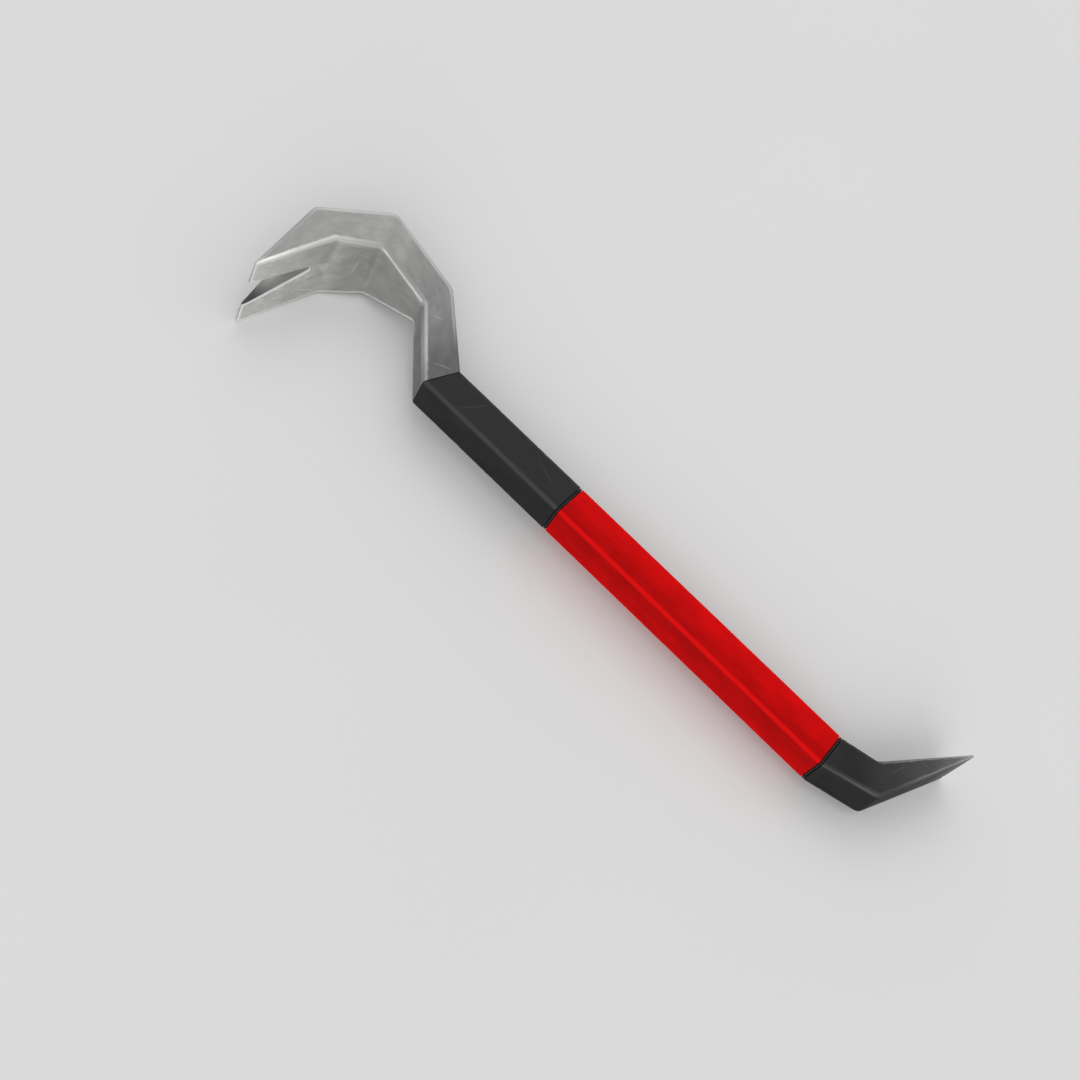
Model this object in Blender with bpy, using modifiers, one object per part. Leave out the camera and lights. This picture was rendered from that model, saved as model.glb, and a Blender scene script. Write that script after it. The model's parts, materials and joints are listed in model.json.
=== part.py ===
"""Gooseneck wrecking bar, lying on its side: two forged ends pinned in a socket sleeve, with a sleeve grip.

The bar is modelled on its own axes and then laid down. On those axes x runs along the shaft from the claw to
the chisel, y points to the back of the hook and z is square to the plane of the hook. The shaft's axis is
y = z = 0, and x = 0 is the middle of the mitre where the claw head meets the socket sleeve.
"""

from collections import namedtuple
import math

import bmesh
import bpy
from mathutils import Matrix, Vector

MM = 0.001
FIT = 0.3 * MM  # gap between neighbouring pieces
WELD = 0.01 * MM  # points of one piece nearer than this are one point

# Shaft: one outside section for the sleeve, the grip and the two forged ends.
SHAFT_DEPTH = 23.0 * MM  # along y, in the plane of the hook
SHAFT_WIDTH = 20.5 * MM  # along z
SHAFT_EDGE = 1.6 * MM  # radius of the long edges
MITRE_LEAN = 8.0 * MM  # how far the claw's mitre leans along x over the depth of the shaft
SLEEVE_END = 94.2 * MM
CHISEL_SHOULDER = 284.0 * MM
WALL = 2.2 * MM  # of the sleeve and of the grip
SEAL_LENGTH = 1.2 * MM
SEAL_INSET = 0.25 * MM  # how far the seals lie below the shaft's faces

# Tang and shank: the square cores that fill the sleeve and the grip.
CORE_DEPTH = SHAFT_DEPTH - 2 * WALL - 2 * FIT
CORE_WIDTH = SHAFT_WIDTH - 2 * WALL - 2 * FIT
CORE_EDGE = 1.0 * MM
CORE_CHAMFER = 1.5 * MM
TANG_END = 46.0 * MM
SHANK_START = 48.0 * MM

# Dowel pins, pushed in from the underside and drawn out by the thread in their lower end.
PIN_RADIUS = 3.0 * MM
PIN_CHAMFER = 0.5 * MM
PIN_RECESS = 0.4 * MM
PIN_THREAD_RADIUS = 1.65 * MM
PIN_THREAD_DEPTH = 9.0 * MM
CLAW_PIN_PLACES = (16.0 * MM, 34.0 * MM)
SHANK_PIN_PLACES = (60.0 * MM, 78.0 * MM)

# Nail slot: a V in the blade of the claw, from between the prongs to a round root. Bevels on the inner face
# lead a nail head in: they begin at nothing between the prongs and are full at the root.
SLOT_TIP_GAP = 18.2 * MM
SLOT_LENGTH = 49.0 * MM
SLOT_ROOT_RADIUS = 1.1 * MM
SLOT_BEVEL_DEPTH = 3.6 * MM
SLOT_BEVEL_WIDTH = 5.5 * MM
SLOT_BEVEL_BACK = 4.0 * MM  # length of the ramp behind the root
SLOT_BEVEL_LIFT = 0.6 * MM  # how far the bevels' cutter stands off the inner face
SLOT_CUTTER_DEPTH = 60.0 * MM

# A section of a forged end: a rectangle across the bar with rounded corners. It runs from an (x, y) point on
# the inside of the hook to one on the outside, and to half_width on both sides of the plane of the hook.
Section = namedtuple("Section", "inner outer half_width inner_edge outer_edge")


def section_mm(inner, outer, half_width, inner_edge, outer_edge):
    """A Section from sizes in millimetres."""
    return Section(
        Vector(inner) * MM, Vector(outer) * MM, half_width * MM, inner_edge * MM, outer_edge * MM
    )


PRONG_TIPS = section_mm((-102.2, -44.2), (-103.6, -44.2), 24.6, 0.5, 0.5)
CLAW_SHOULDER = section_mm((-91.3, 7.3), (-115.0, 13.8), 23.5, 2.2, 1.4)
CROWN_FRONT = section_mm((-74.8, 27.6), (-88.2, 54.0), 20.9, 2.2, 1.4)
CROWN_BACK = section_mm((-40.2, 28.6), (-37.6, 52.6), 9.6, 2.4, 1.6)
HEEL = section_mm((316.8, -1.8), (305.4, 15.8), 11.2, 1.8, 1.4)
CHISEL_TIP = section_mm((343.6, 60.2), (342.6, 60.8), 16.2, 0.4, 0.4)

BEND_REACH = 2.5 * MM  # how far from a bend its easing begins
BEND_STEPS = 3
CORNER_STEPS = 3
ROUND_STEPS = 32
SHARP_EDGE = math.radians(35)  # edges that turn further than this stay sharp
CUTTER_REACH = 10.0 * MM  # how far a cutter stands out past what it cuts


def srgb(hex_colour):
    """Linear RGBA of an sRGB hex colour."""
    channels = [int(hex_colour[i : i + 2], 16) / 255 for i in (1, 3, 5)]
    linear = [c / 12.92 if c <= 0.04045 else ((c + 0.055) / 1.055) ** 2.4 for c in channels]
    return (*linear, 1.0)


def finish(name, hex_colour, metallic, roughness):
    """A material with one plain finish."""
    material = bpy.data.materials.new(name)
    material.use_nodes = True
    shader = material.node_tree.nodes["Principled BSDF"]
    shader.inputs["Base Color"].default_value = srgb(hex_colour)
    shader.inputs["Metallic"].default_value = metallic
    shader.inputs["Roughness"].default_value = roughness
    material.diffuse_color = srgb(hex_colour)
    return material


def add_object(name, mesh, collection):
    made = bpy.data.objects.new(name, mesh)
    collection.objects.link(made)
    return made


def mesh_from(name, shape):
    """A mesh from a bmesh, with its faces turned outwards and its round edges shaded smooth."""
    bmesh.ops.recalc_face_normals(shape, faces=shape.faces)
    mesh = bpy.data.meshes.new(name)
    shape.to_mesh(mesh)
    shape.free()
    mesh.shade_smooth()
    mesh.set_sharp_from_angle(angle=SHARP_EDGE)
    return mesh


def across_shaft(x, depth, width, edge, lean=0.0):
    """A section square across the shaft at x, or leaning along x by this much for each metre of y."""
    half = depth / 2
    return Section(
        Vector((x - lean * half, -half)), Vector((x + lean * half, half)), width / 2, edge, edge
    )


def blend(first, second, share):
    """The section this share of the way from the first to the second."""
    return Section(*(a + (b - a) * share for a, b in zip(first, second)))


def eased(sections):
    """The same run of sections with each bend between its ends rounded over BEND_REACH."""
    run = [sections[0]]
    for before, bend, after in zip(sections, sections[1:], sections[2:]):
        middle = (bend.inner + bend.outer) / 2
        start = blend(bend, before, BEND_REACH / (middle - (before.inner + before.outer) / 2).length)
        end = blend(bend, after, BEND_REACH / (middle - (after.inner + after.outer) / 2).length)
        for step in range(BEND_STEPS):
            share = step / (BEND_STEPS - 1)
            run.append(blend(blend(start, bend, share), blend(bend, end, share), share))
    run.append(sections[-1])
    return run


def ring(section):
    """Points round a section, corner by corner."""
    span = section.outer - section.inner
    across = span.normalized()
    middle = (section.inner + section.outer) / 2
    points = []
    for corner in range(4):
        start = corner * math.pi / 2
        side = math.copysign(1, math.cos(start + math.pi / 4))
        face = math.copysign(1, math.sin(start + math.pi / 4))
        edge = section.outer_edge if side > 0 else section.inner_edge
        for step in range(CORNER_STEPS + 1):
            angle = start + step / CORNER_STEPS * math.pi / 2
            along = side * (span.length / 2 - edge) + edge * math.cos(angle)
            up = face * (section.half_width - edge) + edge * math.sin(angle)
            points.append((*(middle + along * across), up))
    return points


def loft(name, sections, collection):
    """A closed solid through a run of sections."""
    shape = bmesh.new()
    rings = [[shape.verts.new(point) for point in ring(section)] for section in sections]
    for first, second in zip(rings, rings[1:]):
        for i in range(len(first)):
            shape.faces.new((first[i - 1], first[i], second[i], second[i - 1]))
    shape.faces.new(rings[0])
    shape.faces.new(rings[-1])
    return add_object(name, mesh_from(name, shape), collection)


def beam(name, start, end, depth, width, edge, collection):
    """A straight bar along x with its long edges rounded."""
    shape = bmesh.new()
    bmesh.ops.create_cube(shape, size=1.0)
    bmesh.ops.scale(shape, vec=(end - start, depth, width), verts=shape.verts)
    long_edges = [e for e in shape.edges if e.verts[0].co.x != e.verts[1].co.x]
    bmesh.ops.bevel(
        shape, geom=long_edges, offset=edge, segments=CORNER_STEPS, profile=0.5, affect="EDGES"
    )
    made = add_object(name, mesh_from(name, shape), collection)
    made.location.x = (start + end) / 2
    return made


def as_cutter(cutter):
    cutter.hide_render = True
    cutter.display_type = "WIRE"
    return cutter


def cut(piece, cutter):
    boolean = piece.modifiers.new("cut " + cutter.name, "BOOLEAN")
    boolean.operation = "DIFFERENCE"
    boolean.solver = "EXACT"
    boolean.object = cutter


def tube(name, start, end, inset, parts, cutters):
    """A piece of the shaft's outside section, bored through for the core."""
    piece = beam(
        name, start, end, SHAFT_DEPTH - 2 * inset, SHAFT_WIDTH - 2 * inset, SHAFT_EDGE - inset, parts
    )
    bore = beam(
        name + "_bore",
        start - CUTTER_REACH,
        end + CUTTER_REACH,
        CORE_DEPTH + 2 * FIT,
        CORE_WIDTH + 2 * FIT,
        CORE_EDGE + FIT,
        cutters,
    )
    cut(piece, as_cutter(bore))
    return piece


def claw_head(parts):
    """The claw, crown and neck, then the mitred shoulder and the tang below it."""
    lean = MITRE_LEAN / SHAFT_DEPTH
    mitre = across_shaft(0.0, SHAFT_DEPTH, SHAFT_WIDTH, SHAFT_EDGE, lean)
    hook = eased([PRONG_TIPS, CLAW_SHOULDER, CROWN_FRONT, CROWN_BACK, mitre])
    tang = [
        across_shaft(0.0, CORE_DEPTH, CORE_WIDTH, CORE_EDGE, lean),
        across_shaft(TANG_END - CORE_CHAMFER, CORE_DEPTH, CORE_WIDTH, CORE_EDGE),
        across_shaft(TANG_END, CORE_DEPTH - 2 * CORE_CHAMFER, CORE_WIDTH - 2 * CORE_CHAMFER, CORE_EDGE),
    ]
    return loft("claw_head", hook + tang, parts)


def chisel_bar(parts):
    """The chisel and its heel, then the square shoulder and the shank that runs up through the grip."""
    shoulder = across_shaft(CHISEL_SHOULDER, SHAFT_DEPTH, SHAFT_WIDTH, SHAFT_EDGE)
    blade = eased([CHISEL_TIP, HEEL, shoulder])
    shank = [
        across_shaft(CHISEL_SHOULDER, CORE_DEPTH, CORE_WIDTH, CORE_EDGE),
        across_shaft(SHANK_START + CORE_CHAMFER, CORE_DEPTH, CORE_WIDTH, CORE_EDGE),
        across_shaft(SHANK_START, CORE_DEPTH - 2 * CORE_CHAMFER, CORE_WIDTH - 2 * CORE_CHAMFER, CORE_EDGE),
    ]
    return loft("chisel_bar", blade + shank, parts)


def blade_axes():
    """The inner face of the claw's blade: x up it from the prongs, y across the claw, z out of the face."""
    up_blade = (CLAW_SHOULDER.inner - PRONG_TIPS.inner).normalized().to_3d()
    side = Vector((0, 0, 1))
    axes = Matrix((up_blade, side, up_blade.cross(side))).transposed().to_4x4()
    return Matrix.Translation(PRONG_TIPS.inner.to_3d()) @ axes


def nail_slot(cutters):
    """The cutter for the nail slot: a V outline on the inner face of the blade, drawn through the claw."""
    half_gap = SLOT_TIP_GAP / 2
    half_angle = math.atan2(half_gap, SLOT_LENGTH)
    root = SLOT_LENGTH - SLOT_ROOT_RADIUS / math.sin(half_angle)
    mouth = half_gap + CUTTER_REACH * math.tan(half_angle)
    outline = [(-CUTTER_REACH, mouth), (-CUTTER_REACH, -mouth)]
    for step in range(ROUND_STEPS // 4 + 1):
        angle = (step / (ROUND_STEPS // 4) - 0.5) * (math.pi - 2 * half_angle)
        outline.append((root + SLOT_ROOT_RADIUS * math.cos(angle), SLOT_ROOT_RADIUS * math.sin(angle)))

    curve = bpy.data.curves.new("nail_slot", "CURVE")
    curve.dimensions = "2D"
    curve.fill_mode = "BOTH"
    curve.extrude = SLOT_CUTTER_DEPTH / 2
    spline = curve.splines.new("POLY")
    spline.points.add(len(outline) - 1)
    for point, (along, side) in zip(spline.points, outline):
        point.co = (along, side, 0.0, 1.0)
    spline.use_cyclic_u = True
    drawn = add_object("nail_slot_outline", curve, cutters)
    drawn.matrix_world = blade_axes()
    bpy.context.view_layer.update()
    graph = bpy.context.evaluated_depsgraph_get()
    mesh = bpy.data.meshes.new_from_object(drawn.evaluated_get(graph))
    shape = bmesh.new()
    shape.from_mesh(mesh)
    bmesh.ops.remove_doubles(shape, verts=shape.verts, dist=WELD)
    bmesh.ops.recalc_face_normals(shape, faces=shape.faces)
    shape.to_mesh(mesh)
    shape.free()
    cutter = add_object("nail_slot", mesh, cutters)
    cutter.matrix_world = drawn.matrix_world
    bpy.data.objects.remove(drawn)
    return as_cutter(cutter)


def slot_bevels(cutters):
    """The cutter for the nail slot's two bevels and the ramp behind its root: the hull of their corners."""
    rise = SLOT_BEVEL_LIFT / SLOT_BEVEL_DEPTH
    past = CUTTER_REACH / SLOT_LENGTH
    mouth_side = SLOT_TIP_GAP / 2 * (1 + past)
    mouth_height = SLOT_BEVEL_DEPTH * past
    corners = [
        (SLOT_LENGTH, 0.0, -SLOT_BEVEL_DEPTH),
        (SLOT_LENGTH + SLOT_BEVEL_BACK * (1 + rise), 0.0, SLOT_BEVEL_LIFT),
    ]
    for side in (1, -1):
        corners += [
            (-CUTTER_REACH, side * mouth_side, mouth_height),
            (-CUTTER_REACH, side * (mouth_side + SLOT_BEVEL_WIDTH * rise), mouth_height + SLOT_BEVEL_LIFT),
            (SLOT_LENGTH, side * SLOT_BEVEL_WIDTH * (1 + rise), SLOT_BEVEL_LIFT),
        ]
    shape = bmesh.new()
    for corner in corners:
        shape.verts.new(corner)
    bmesh.ops.convex_hull(shape, input=shape.verts)
    cutter = add_object("nail_slot_bevels", mesh_from("nail_slot_bevels", shape), cutters)
    cutter.matrix_world = blade_axes()
    return as_cutter(cutter)


def mitre_cut(cutters):
    """The cutter that ends the sleeve a gap short of the claw head's mitre."""
    span = SHAFT_DEPTH + 2 * CUTTER_REACH
    lean_angle = math.atan2(MITRE_LEAN, SHAFT_DEPTH)
    cutter = beam("sleeve_mitre", -span, 0.0, span, span, SHAFT_EDGE, cutters)
    turn = Matrix.Rotation(-lean_angle, 4, "Z")
    cutter.matrix_world = Matrix.Translation((FIT / math.cos(lean_angle), 0, 0)) @ turn @ cutter.matrix_basis
    return as_cutter(cutter)


def pin_hole(name, place, cutters):
    """The cutter for one pin: it enters at the underside and stops inside the sleeve's upper wall."""
    below = SHAFT_WIDTH
    top = CORE_WIDTH / 2 + FIT / 2
    shape = bmesh.new()
    radius = PIN_RADIUS + FIT
    bmesh.ops.create_cone(
        shape, cap_ends=True, segments=ROUND_STEPS, radius1=radius, radius2=radius, depth=top + below
    )
    cutter = add_object(name + "_hole", mesh_from(name + "_hole", shape), cutters)
    cutter.location = (place, 0.0, (top - below) / 2)
    return as_cutter(cutter)


def dowel_pin(name, place, parts):
    """A turned pin, its thread end at the underside of the shaft."""
    bottom = -SHAFT_WIDTH / 2 + PIN_RECESS
    length = CORE_WIDTH / 2 - FIT - bottom
    profile = [
        (0.0, length),
        (PIN_RADIUS - PIN_CHAMFER, length),
        (PIN_RADIUS, length - PIN_CHAMFER),
        (PIN_RADIUS, PIN_CHAMFER),
        (PIN_RADIUS - PIN_CHAMFER, 0.0),
        (PIN_THREAD_RADIUS, 0.0),
        (PIN_THREAD_RADIUS, PIN_THREAD_DEPTH),
        (0.0, PIN_THREAD_DEPTH + PIN_THREAD_RADIUS / 2),
    ]
    mesh = bpy.data.meshes.new(name)
    edges = [(i, i + 1) for i in range(len(profile) - 1)]
    mesh.from_pydata([(r, 0.0, z) for r, z in profile], edges, [])
    pin = add_object(name, mesh, parts)
    turn = pin.modifiers.new("turn", "SCREW")
    turn.steps = ROUND_STEPS
    turn.render_steps = ROUND_STEPS
    turn.use_merge_vertices = True
    turn.merge_threshold = WELD
    pin.location = (place, 0.0, bottom)
    return pin


def lay_down(rest):
    """Turns the bar so that the corners it lies on are level: two of the claw and one of the chisel."""
    contacts = [
        Vector((*corner, -section.half_width))
        for corner, section in (
            (PRONG_TIPS.outer, PRONG_TIPS),
            (CLAW_SHOULDER.outer, CLAW_SHOULDER),
            (CHISEL_TIP.outer, CHISEL_TIP),
        )
    ]
    up = (contacts[1] - contacts[0]).cross(contacts[2] - contacts[0]).normalized()
    if up.z < 0:
        up.negate()
    rest.rotation_mode = "QUATERNION"
    rest.rotation_quaternion = up.rotation_difference(Vector((0, 0, 1)))


def stand_on_floor(rest, pieces):
    """Moves the bar so that its box stands on z = 0 with the origin under the box's middle."""
    bpy.context.view_layer.update()
    graph = bpy.context.evaluated_depsgraph_get()
    points = []
    for piece in pieces:
        evaluated = piece.evaluated_get(graph)
        mesh = evaluated.to_mesh()
        points += [evaluated.matrix_world @ vertex.co for vertex in mesh.vertices]
        evaluated.to_mesh_clear()
    low = Vector(map(min, zip(*points)))
    high = Vector(map(max, zip(*points)))
    rest.location -= Vector(((low.x + high.x) / 2, (low.y + high.y) / 2, low.z))


def main():
    for old in list(bpy.data.objects):
        bpy.data.objects.remove(old)
    parts = bpy.data.collections.new("gooseneck_wrecking_bar")
    cutters = bpy.data.collections.new("cutters")
    cutters.hide_render = True
    for collection in (parts, cutters):
        bpy.context.scene.collection.children.link(collection)

    forged_steel = finish("bare forged steel", "#9c9c9c", 1.0, 0.42)
    black_steel = finish("blackened steel", "#333333", 1.0, 0.5)
    red_vinyl = finish("red vinyl", "#c00c0c", 0.0, 0.45)
    black_rubber = finish("black rubber", "#1c1a1a", 0.0, 0.8)
    pin_steel = finish("ground pin steel", "#8a8a8c", 1.0, 0.3)

    claw = claw_head(parts)
    chisel = chisel_bar(parts)
    sleeve = tube("socket_sleeve", -MITRE_LEAN, SLEEVE_END, 0.0, parts, cutters)
    seal_start = SLEEVE_END + FIT
    grip_start = seal_start + SEAL_LENGTH + FIT
    grip_end = CHISEL_SHOULDER - 2 * FIT - SEAL_LENGTH
    upper_seal = tube("grip_seal_upper", seal_start, seal_start + SEAL_LENGTH, SEAL_INSET, parts, cutters)
    grip = tube("grip_sleeve", grip_start, grip_end, 0.0, parts, cutters)
    lower_seal = tube("grip_seal_lower", grip_end + FIT, CHISEL_SHOULDER - FIT, SEAL_INSET, parts, cutters)

    cut(claw, nail_slot(cutters))
    cut(claw, slot_bevels(cutters))
    cut(sleeve, mitre_cut(cutters))
    pins = []
    for core, names, places in (
        (claw, ("claw_pin_upper", "claw_pin_lower"), CLAW_PIN_PLACES),
        (chisel, ("shank_pin_upper", "shank_pin_lower"), SHANK_PIN_PLACES),
    ):
        for name, place in zip(names, places):
            hole = pin_hole(name, place, cutters)
            cut(sleeve, hole)
            cut(core, hole)
            pins.append(dowel_pin(name, place, parts))

    finishes = {
        forged_steel: [claw],
        black_steel: [sleeve, chisel],
        red_vinyl: [grip],
        black_rubber: [upper_seal, lower_seal],
        pin_steel: pins,
    }
    for material, pieces in finishes.items():
        for piece in pieces:
            piece.data.materials.append(material)

    rest = bpy.data.objects.new("rest_pose", None)
    parts.objects.link(rest)
    for piece in list(parts.objects) + list(cutters.objects):
        if piece is not rest:
            piece.parent = rest
    lay_down(rest)
    stand_on_floor(rest, [piece for piece in parts.objects if piece.type == "MESH"])


main()
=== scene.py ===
# %% [markdown]
# A gooseneck wrecking bar, dressed for its picture
#
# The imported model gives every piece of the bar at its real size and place: a forged claw, a forged chisel,
# the dark sleeve that they are pinned into, a red grip between two thin seals, and four dowel pins. This
# lesson keeps those places and makes the surfaces: rounded and knocked edges, a bevelled nail slot, real
# threads in the pins, and a finish for each material.

# %% Load the frame
from collections import namedtuple
import json
import math
import random

import bmesh
import bpy
from mathutils import Matrix, Vector, kdtree, noise


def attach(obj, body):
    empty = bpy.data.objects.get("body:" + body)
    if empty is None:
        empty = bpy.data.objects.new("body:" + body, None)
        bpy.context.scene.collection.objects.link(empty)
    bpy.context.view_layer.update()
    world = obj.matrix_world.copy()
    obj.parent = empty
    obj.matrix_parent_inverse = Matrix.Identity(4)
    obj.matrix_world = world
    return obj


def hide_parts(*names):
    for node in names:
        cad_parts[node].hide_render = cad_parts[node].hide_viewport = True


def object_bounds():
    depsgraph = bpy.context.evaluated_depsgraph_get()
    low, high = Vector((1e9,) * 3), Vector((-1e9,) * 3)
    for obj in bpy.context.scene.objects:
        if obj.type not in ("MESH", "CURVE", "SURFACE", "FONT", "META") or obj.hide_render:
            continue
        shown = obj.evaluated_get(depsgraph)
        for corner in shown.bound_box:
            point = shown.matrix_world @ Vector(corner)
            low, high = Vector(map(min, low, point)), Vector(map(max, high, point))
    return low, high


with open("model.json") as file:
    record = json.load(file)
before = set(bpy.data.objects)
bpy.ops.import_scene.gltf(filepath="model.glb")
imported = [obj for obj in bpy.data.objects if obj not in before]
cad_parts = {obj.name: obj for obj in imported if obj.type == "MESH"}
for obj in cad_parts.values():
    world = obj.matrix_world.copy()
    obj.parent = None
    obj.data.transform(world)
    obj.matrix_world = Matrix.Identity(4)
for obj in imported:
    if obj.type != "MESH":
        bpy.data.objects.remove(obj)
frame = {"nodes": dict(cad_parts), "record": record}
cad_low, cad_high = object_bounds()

MM = 0.001
nodes = frame["nodes"]
print("pieces in the frame:", ", ".join(sorted(nodes)))

# %% [markdown]
# The bar lies on its side, tipped a little because its two ends are not equally wide. It is far easier to
# describe it straight: x along the shaft from the claw to the chisel, y to the back of the hook, z square to
# the plane of the hook. The record's mounts are points on the flat faces of the dark sleeve, so they give
# those axes, the shaft's depth and its width, and nothing has to be measured twice.

# %% Find the bar's own axes
SLEEVE_MOUNT_PLACE = 48.0 * MM  # where along the shaft the sleeve's mounts sit

mounts = {mount["name"]: mount for mount in frame["record"]["mounts"]}
face_point = {name: Vector(mount["pos_m"]) for name, mount in mounts.items()}
back_axis = Vector(mounts["sleeve_back_face"]["axis"]).normalized()
side_axis = Vector(mounts["sleeve_top_face"]["axis"]).normalized()
along_axis = back_axis.cross(side_axis)
shaft_middle = (face_point["sleeve_back_face"] + face_point["sleeve_front_face"]) / 2
shaft_depth = (face_point["sleeve_back_face"] - face_point["sleeve_front_face"]).length
shaft_width = 2 * (face_point["sleeve_top_face"] - shaft_middle).dot(side_axis)

bar_turn = Matrix((along_axis, back_axis, side_axis)).transposed().to_4x4()
bar_place = Matrix.Translation(shaft_middle - along_axis * SLEEVE_MOUNT_PLACE) @ bar_turn
print(f"shaft {shaft_depth / MM:.2f} mm deep and {shaft_width / MM:.2f} mm wide")

# %% [markdown]
# The camera stands where the photograph was taken: in front of the bar and well above it, and rolled so that
# the shaft runs down the picture from left to right. A 50 mm lens on a 36 mm sensor gives the same mild
# perspective. It is set by what it looks at, how far away it is, and three angles.

# %% Place the camera
CAMERA_AIM = Vector((-17.9, -18.0, 0.0)) * MM
CAMERA_DISTANCE = 814.1 * MM
CAMERA_AZIMUTH = math.radians(10.54)
CAMERA_ELEVATION = math.radians(53.05)
CAMERA_ROLL = math.radians(35.08)
LENS_MM = 50.23
NEAREST = 10.0 * MM  # what is closer to the lens than this is cut off

scene = bpy.context.scene
towards_camera = Vector(
    (
        math.sin(CAMERA_AZIMUTH) * math.cos(CAMERA_ELEVATION),
        -math.cos(CAMERA_AZIMUTH) * math.cos(CAMERA_ELEVATION),
        math.sin(CAMERA_ELEVATION),
    )
)
camera = bpy.data.objects.new("camera", bpy.data.cameras.new("camera"))
camera.data.lens = LENS_MM
camera.data.clip_start = NEAREST
camera.rotation_mode = "QUATERNION"
level = (-towards_camera).to_track_quat("-Z", "Y").to_matrix()
camera.rotation_quaternion = (level @ Matrix.Rotation(CAMERA_ROLL, 3, "Z")).to_quaternion()
camera.location = CAMERA_AIM + CAMERA_DISTANCE * towards_camera
scene.collection.objects.link(camera)
scene.camera = camera
scene.view_settings.view_transform = "Standard"
print("camera at", [round(value, 3) for value in camera.location])

# %% [markdown]
# Colours are written as sRGB hex values, the way a colour picker shows them. Blender's shaders work in linear
# light, so one function turns a hex value into linear numbers.

# %% A helper for colour


def linear(hex_colour):
    """Linear RGBA of an sRGB hex colour."""
    channels = [int(hex_colour[i : i + 2], 16) / 255 for i in (1, 3, 5)]
    return (*(c / 12.92 if c <= 0.04045 else ((c + 0.055) / 1.055) ** 2.4 for c in channels), 1.0)


print("a picker's #808080 is", round(linear("#808080")[0], 3), "in linear light")

# %% [markdown]
# A material is a tree of nodes. One small function adds a node, sets its properties and fills its inputs: a
# number or colour is written on the socket, and another node's output is linked to it. The Mix node has
# several inputs called A and B, one for each kind of data, so its colour sockets are named by their numbers.

# %% A helper for shader nodes
FACTOR, COLOUR_A, COLOUR_B, COLOUR_OUT = 0, 6, 7, 2


def add(tree, kind, inputs=None, **settings):
    """A new shader node's outputs, with its settings made and its inputs set or linked."""
    made = tree.nodes.new("ShaderNode" + kind)
    for name, value in settings.items():
        setattr(made, name, value)
    for socket, value in (inputs or {}).items():
        if isinstance(value, bpy.types.NodeSocket):
            tree.links.new(value, made.inputs[socket])
        else:
            made.inputs[socket].default_value = value
    return made.outputs


def new_finish(name, metallic, specular=0.5):
    """A new material, its tree, and its shader with the values that are the same all over."""
    material = bpy.data.materials.new(name)
    material.use_nodes = True
    shader = material.node_tree.nodes["Principled BSDF"]
    shader.inputs["Metallic"].default_value = metallic
    shader.inputs["Specular IOR Level"].default_value = specular
    print("finish:", name)
    return material, material.node_tree, shader


print("the Mix node takes its colours at inputs", COLOUR_A, "and", COLOUR_B)

# %% [markdown]
# The floor is a sheet of pale matt card, so large that its ends are far outside the photograph's view. A
# real sheet is never quite even, so faint clouds move its tone by a few levels. It is neutral, so it adds no
# colour of its own.

# %% Make the floor
FLOOR_SIZE = 60.0
FLOOR_COLOUR = "#dcdcdc"
FLOOR_SHADE = "#d7d7d7"
FLOOR_CLOUD = 0.35  # metres between the clouds
FLOOR_ROUGHNESS = 0.9


def mesh_of(name, shape):
    """A mesh of this bmesh, which is then freed."""
    mesh = bpy.data.meshes.new(name)
    shape.to_mesh(mesh)
    shape.free()
    return mesh


material, tree, shader = new_finish("pale matt studio floor", metallic=0.0, specular=0.2)
cloud = add(tree, "TexNoise", {"Vector": add(tree, "TexCoord")["Object"], "Scale": 1 / FLOOR_CLOUD})["Fac"]
colours = {FACTOR: cloud, COLOUR_A: linear(FLOOR_COLOUR), COLOUR_B: linear(FLOOR_SHADE)}
floor_tone = add(tree, "Mix", colours, data_type="RGBA")[COLOUR_OUT]
tree.links.new(floor_tone, shader.inputs["Base Color"])
shader.inputs["Roughness"].default_value = FLOOR_ROUGHNESS

shape = bmesh.new()
bmesh.ops.create_grid(shape, x_segments=1, y_segments=1, size=FLOOR_SIZE / 2)
floor = bpy.data.objects.new("floor", mesh_of("floor", shape))
floor.data.materials.append(material)
scene.collection.objects.link(floor)
print(f"floor {FLOOR_SIZE:.0f} m across")

# %% [markdown]
# The light is plain and soft, like an overcast sky in a studio. A pale surround lights the bar from all
# sides, a weak lamp above and behind it gives the steel a soft sheen, and a stronger one fills the front.
# Both are sun lamps, made as wide in the sky as a large soft box, so the floor is lit evenly as far as it
# goes. The surround has the tone that the floor renders with, so hardly any horizon shows in a low view.

# %% Make the surround and the lamps
SURROUND_COLOUR = "#dcdcdc"
LAMP_WIDTH = math.radians(44)  # across a soft box, seen from the bar
LAMPS = {
    "key lamp": dict(place=(-0.55, 0.75, 1.25), strength=0.35),
    "fill lamp": dict(place=(0.9, -1.9, 1.3), strength=1.2),
}

world = bpy.data.worlds.new("pale surround")
world.use_nodes = True
world.node_tree.nodes["Background"].inputs["Color"].default_value = linear(SURROUND_COLOUR)
scene.world = world

for name, lamp in LAMPS.items():
    light = bpy.data.lights.new(name, "SUN")
    light.angle = LAMP_WIDTH
    light.energy = lamp["strength"]
    lamp_object = bpy.data.objects.new(name, light)
    lamp_object.location = lamp["place"]
    lamp_object.rotation_euler = (-Vector(lamp["place"])).to_track_quat("-Z", "Y").to_euler()
    scene.collection.objects.link(lamp_object)
print("lamps:", ", ".join(LAMPS))

# %% [markdown]
# Every finish on this bar follows its shape. Grinding lines run along the bar and round its bends, edges are
# worn bright, and the steel darkens towards the sleeve. So each mesh carries values at its points:
# straight_mm is the place that the point would have if the bar were bent straight, edge_mm is the distance
# to the nearest edge, inside is 1 on the face inside the hook and along that side of the shaft, and in_slot
# is 1 on the walls of the nail slot. The patterns below read them. The first is a grain: noise on the
# straightened bar, with grains of a real size, stretched along the bar where the tool ran.

# %% A grain that follows the bar


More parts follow.
